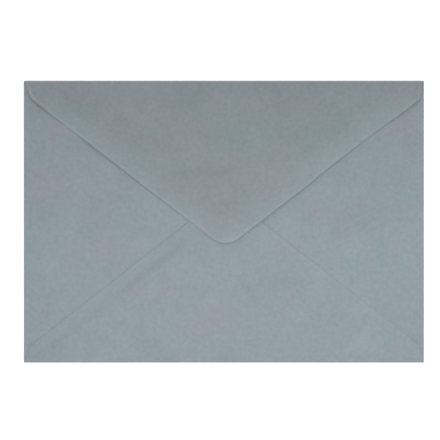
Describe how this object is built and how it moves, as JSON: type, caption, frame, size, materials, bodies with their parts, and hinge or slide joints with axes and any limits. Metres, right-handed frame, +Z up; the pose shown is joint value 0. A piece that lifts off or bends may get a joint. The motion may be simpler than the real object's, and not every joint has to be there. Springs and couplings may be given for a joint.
{
  "type": "paper envelope",
  "caption": "Flat rectangular paper envelope folded from a die-cut sheet, with a rounded-point seal flap lying over the glued bottom and side flaps; holds a card or folded letter.",
  "frame": {"origin": "middle of the front panel's outer face, on the surface that the envelope lies on", "axes": "+X along the top and bottom folds, +Y towards the fold of the seal flap, +Z up out of the flap side"},
  "size_m": [0.162, 0.114, 0.001],
  "materials": {
    "paper": "matt blue-grey uncoated paper"
  },
  "bodies": {
    "root": {"envelope": "paper"}
  },
  "joints": []
}
